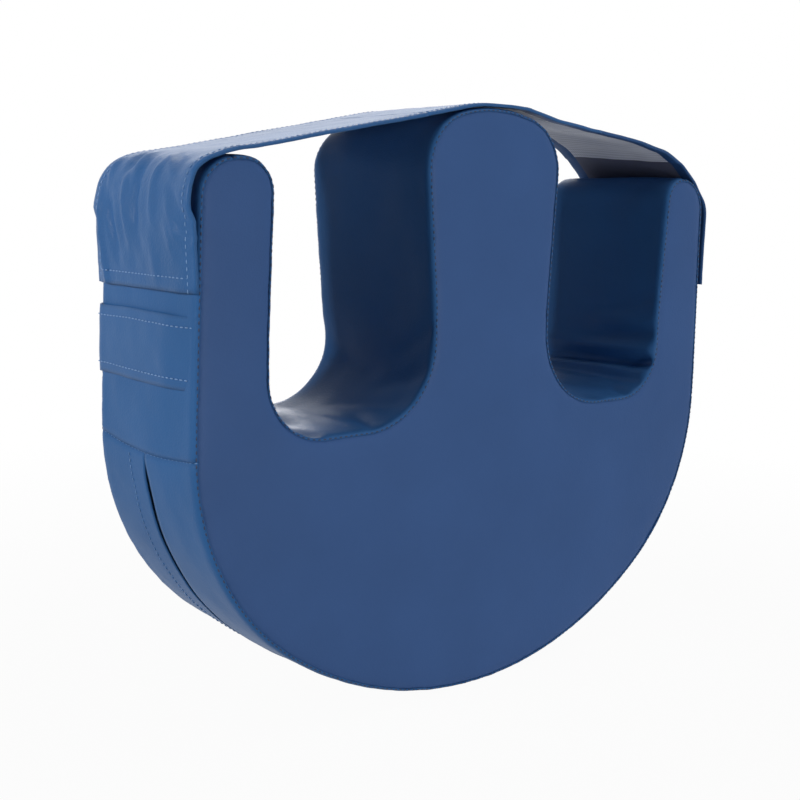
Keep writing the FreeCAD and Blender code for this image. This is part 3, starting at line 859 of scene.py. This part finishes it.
# ---- stitches ------------------------------------------------------------------------------
def stitch_tree():
    """Short thread stitches spaced evenly along every line of the mesh."""
    tree = bpy.data.node_groups.new("stitch_rows", "GeometryNodeTree")
    face = tree.interface
    face.new_socket("Geometry", in_out="INPUT", socket_type="NodeSocketGeometry")
    for label, value in (("Pitch", STITCH_PITCH), ("Length", STITCH_LENGTH), ("Thread", THREAD)):
        face.new_socket(label, in_out="INPUT", socket_type="NodeSocketFloat").default_value = value * MM
    face.new_socket("Material", in_out="INPUT", socket_type="NodeSocketMaterial")
    face.new_socket("Geometry", in_out="OUTPUT", socket_type="NodeSocketGeometry")
    source, sink = tree.nodes.new("NodeGroupInput"), tree.nodes.new("NodeGroupOutput")
    curve = add(tree, "GeometryNodeMeshToCurve", [(0, source.outputs["Geometry"])])
    even = add(tree, "GeometryNodeResampleCurve",
               [("Curve", curve.outputs[0]), ("Length", source.outputs["Pitch"])], mode="LENGTH")
    ball = add(tree, "GeometryNodeMeshUVSphere")
    ball.inputs["Segments"].default_value = 6
    ball.inputs["Rings"].default_value = 4
    ball.inputs["Radius"].default_value = 1.0
    half = add(tree, "ShaderNodeMath", [(0, source.outputs["Length"])], operation="MULTIPLY", in_1=0.5)
    size = add(tree, "ShaderNodeCombineXYZ", [(0, source.outputs["Thread"]), (1, source.outputs["Thread"]),
                                             (2, half.outputs[0])])
    tangent = add(tree, "GeometryNodeInputTangent")
    turn = add(tree, "FunctionNodeAlignRotationToVector", [("Vector", tangent.outputs[0])], axis="Z")
    points = add(tree, "GeometryNodeInstanceOnPoints",
                 [("Points", even.outputs[0]), ("Instance", ball.outputs[0]), ("Rotation", turn.outputs[0]),
                  ("Scale", size.outputs[0])])
    real = add(tree, "GeometryNodeRealizeInstances", [(0, points.outputs[0])])
    paint = add(tree, "GeometryNodeSetMaterial",
                [(0, real.outputs[0]), ("Material", source.outputs["Material"])])
    tree.links.new(paint.outputs[0], sink.inputs[0])
    return tree


STITCHES = stitch_tree()


def stitches(name, lines, material, closed=False, **sizes):
    """All stitch lines of one body, grown by the node tree and kept as a plain mesh."""
    verts, edges = [], []
    for line in lines:
        first = len(verts)
        verts += [tuple(p) for p in np.asarray(line) * MM]
        edges += [(first + i, first + i + 1) for i in range(len(line) - 1)]
        if closed:
            edges.append((len(verts) - 1, first))
    mesh = bpy.data.meshes.new(name + "_lines")
    mesh.from_pydata(verts, edges, [])
    source = bpy.data.objects.new(name + "_lines", mesh)
    bpy.context.scene.collection.objects.link(source)
    modifier = source.modifiers.new("rows", "NODES")
    modifier.node_group = STITCHES
    for item in STITCHES.interface.items_tree:
        if item.in_out == "INPUT" and item.name == "Material":
            modifier[item.identifier] = material
        if item.in_out == "INPUT" and item.name in sizes:
            modifier[item.identifier] = sizes[item.name] * MM
    bpy.context.view_layer.update()
    grown = bpy.data.meshes.new_from_object(source.evaluated_get(bpy.context.evaluated_depsgraph_get()))
    grown.name = name
    bpy.data.objects.remove(source)
    bpy.data.meshes.remove(mesh)
    piece = bpy.data.objects.new(name, grown)
    bpy.context.scene.collection.objects.link(piece)
    grown.polygons.foreach_set("use_smooth", [True] * len(grown.polygons))
    return piece


def seam_lines():
    """The seams all round the front and back panels."""
    s = np.arange(ROUND / 2, ROUND * 1.5, 2.0)
    x, z = cover.at(s)
    nx, nz = cover.normal(s)
    x, z = x - nx * THREAD_DROP, z - nz * THREAD_DROP
    return [lean(np.stack([x, side * (HALF_DEPTH - THREAD_IN) + 0 * x, z], axis=1)) for side in (-1, 1)]


def base_lines():
    """The stitch line beside the slit, and the seams between base strips and arm sides."""
    lines = []
    s = np.arange(float(base_from(0.0)) + 4, float(base_to(0.0)) - 4, 2.0)
    y = slit_middle(s) + REAR_HEM
    h = relief(s, y) + 0.12
    x, z = cover.at(s)
    nx, nz = cover.normal(s)
    lines.append(lean(np.stack([x + nx * h, y, z + nz * h], axis=1)))
    y = np.arange(-HALF_DEPTH + 1, HALF_DEPTH - 0.5, 2.0)
    for place in (base_from, base_to):
        s = place(y)
        h = relief(s, y) - 0.9
        x, z = cover.at(s)
        nx, nz = cover.normal(s)
        lines.append(np.stack([x + nx * h, y, z + nz * h], axis=1))
    return lines


for rows_of_thread, slot in (
        (stitches("seam_stitches", seam_lines(), seam_thread, closed=True, Thread=SEAM_THREAD), "cover"),
        (stitches("base_stitches", base_lines(), base_thread), "cover"),
        (stitches("band_stitches", band_rows, band_thread, Length=BAND_STITCH), "band_cover")):
    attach(rows_of_thread, "cushion")
for letter, s_start, s_end, joint in (
        ("a", 1.0, S_A, A_JOINT), ("b", S_A, S_B, B_JOINT), ("c", S_B, STRAP_LENGTH - 1, C_JOINT)):
    rows_of_thread = stitches(f"strap_{letter}_stitches", strap_rows(s_start, s_end), strap_thread)
    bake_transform(rows_of_thread)

# ---- carried-over pieces -------------------------------------------------------------------
PAINT = {
    "zip_tape_front": zip_cloth, "zip_tape_rear": zip_cloth, "zip_coil_front": zip_coil,
    "zip_coil_rear": zip_coil, "zip_top_stop_front": zip_metal, "zip_top_stop_rear": zip_metal,
    "zip_bottom_stop": zip_metal, "zip_slider": zip_metal, "zip_pull_tab": zip_metal,
    "hook_tape": hook_cloth, "loop_tape": hook_cloth,
}
for node, material in PAINT.items():
    for obj in bpy.data.objects:
        if obj.type == "MESH" and obj.name.split(".")[0] == node:
            obj.data.materials.clear()
            obj.data.materials.append(material)


# ---- floor, light and camera ---------------------------------------------------------------
def white_for_camera(tree):
    """White where the camera, a reflection or a clear surface looks; plain shade elsewhere."""
    path = tree.nodes.new("ShaderNodeLightPath")
    seen = path.outputs["Is Camera Ray"]
    for ray in ("Is Glossy Ray", "Is Transmission Ray"):
        either = add(tree, "ShaderNodeMath", [(0, seen), (1, path.outputs[ray])], operation="MAXIMUM")
        seen = either.outputs[0]
    return seen


def world():
    """Plain white surroundings that give the piece only a little light."""
    scene_world = bpy.data.worlds.new("studio")
    bpy.context.scene.world = scene_world
    scene_world.use_nodes = True
    tree = scene_world.node_tree
    tree.nodes.clear()
    white = add(tree, "ShaderNodeBackground", in_1=1.0)
    white.inputs[0].default_value = (1, 1, 1, 1)
    soft = add(tree, "ShaderNodeBackground", in_1=0.02)
    soft.inputs[0].default_value = (1, 1, 1, 1)
    mix = add(tree, "ShaderNodeMixShader",
              [(0, white_for_camera(tree)), (1, soft.outputs[0]), (2, white.outputs[0])])
    out = tree.nodes.new("ShaderNodeOutputWorld")
    tree.links.new(mix.outputs[0], out.inputs[0])


def floor():
    """White floor that shows the piece's soft shadow near it."""
    mesh = bpy.data.meshes.new("floor")
    half = 6.0  # metres
    corners = [(-half, -half, 0), (half, -half, 0), (half, half, 0), (-half, half, 0)]
    mesh.from_pydata(corners, [], [(0, 1, 2, 3)])
    obj = bpy.data.objects.new("floor", mesh)
    obj.location.z = -0.0006  # just under the base
    bpy.context.scene.collection.objects.link(obj)
    material = bpy.data.materials.new("floor_white")
    material.use_nodes = True
    tree = material.node_tree
    shader = tree.nodes["Principled BSDF"]
    shader.inputs["Base Color"].default_value = (0.45, 0.45, 0.45, 1)
    shader.inputs["Roughness"].default_value = 0.9
    shader.inputs["Specular IOR Level"].default_value = 0.0
    glow = add(tree, "ShaderNodeEmission", in_1=1.0)
    where = add(tree, "ShaderNodeTexCoord").outputs["Object"]
    far = add(tree, "ShaderNodeVectorMath", [(0, where)], operation="LENGTH")
    fade = add(tree, "ShaderNodeMapRange", [(0, far.outputs["Value"])],
               in_1=0.3, in_2=0.9, in_3=0.96, in_4=1.0)
    share = add(tree, "ShaderNodeMath", [(0, white_for_camera(tree)), (1, fade.outputs[0])],
                operation="MULTIPLY")
    mix = add(tree, "ShaderNodeMixShader",
              [(0, share.outputs[0]), (1, shader.outputs[0]), (2, glow.outputs[0])])
    tree.links.new(mix.outputs[0], tree.nodes["Material Output"].inputs[0])
    mesh.materials.append(material)


def lamp(name, place, target, size, power):
    light = bpy.data.lights.new(name, "AREA")
    light.shape = "RECTANGLE"
    light.size, light.size_y = size
    light.energy = power
    obj = bpy.data.objects.new(name, light)
    obj.location = place
    obj.rotation_euler = (Vector(target) - Vector(place)).to_track_quat("-Z", "Y").to_euler()
    bpy.context.scene.collection.objects.link(obj)


CAMERA_PLACE, CAMERA_LENS = (-0.53719, -0.60922, 0.32432), 51.924
CAMERA_TURN = (0.694378, -0.163391, 0.020658)  # yaw, pitch and roll in radians


def camera():
    yaw, pitch, roll = CAMERA_TURN
    ahead = Vector((math.sin(yaw) * math.cos(pitch), math.cos(yaw) * math.cos(pitch), math.sin(pitch)))
    right = Vector((math.cos(yaw), -math.sin(yaw), 0))
    up = right.cross(ahead)
    right, up = (math.cos(roll) * right + math.sin(roll) * up, math.cos(roll) * up - math.sin(roll) * right)
    data = bpy.data.cameras.new("camera")
    data.sensor_width = 36.0
    data.lens = CAMERA_LENS
    obj = bpy.data.objects.new("camera", data)
    turn = Matrix((right, up, -ahead)).transposed().to_4x4()
    obj.matrix_world = Matrix.Translation(CAMERA_PLACE) @ turn
    bpy.context.scene.collection.objects.link(obj)
    bpy.context.scene.camera = obj


world()
floor()
lamp("lamp_left", (-1.8, 0.1, 0.8), (0, 0, 0.25), (0.4, 0.5), 20)
lamp("lamp_front", (0.05, -1.95, 0.2), (0, 0, 0.2), (0.7, 0.3), 9.6)
lamp("lamp_low", (0.08, -1.15, 0.03), (0.05, 0, 0.3), (0.4, 0.05), 1.8)
lamp("lamp_top", (0.4, -0.7, 2.0), (0, 0, 0.2), (1.4, 1.4), 12.5)
lamp("lamp_back", (1.6, 2.2, 1.55), (0, 0, 0.3), (2.2, 0.9), 16)
lamp("lamp_rear", (1.1, 2.0, 0.35), (0, 0, 0.2), (0.8, 0.4), 9)
camera()
bpy.context.scene.view_settings.view_transform = "Standard"
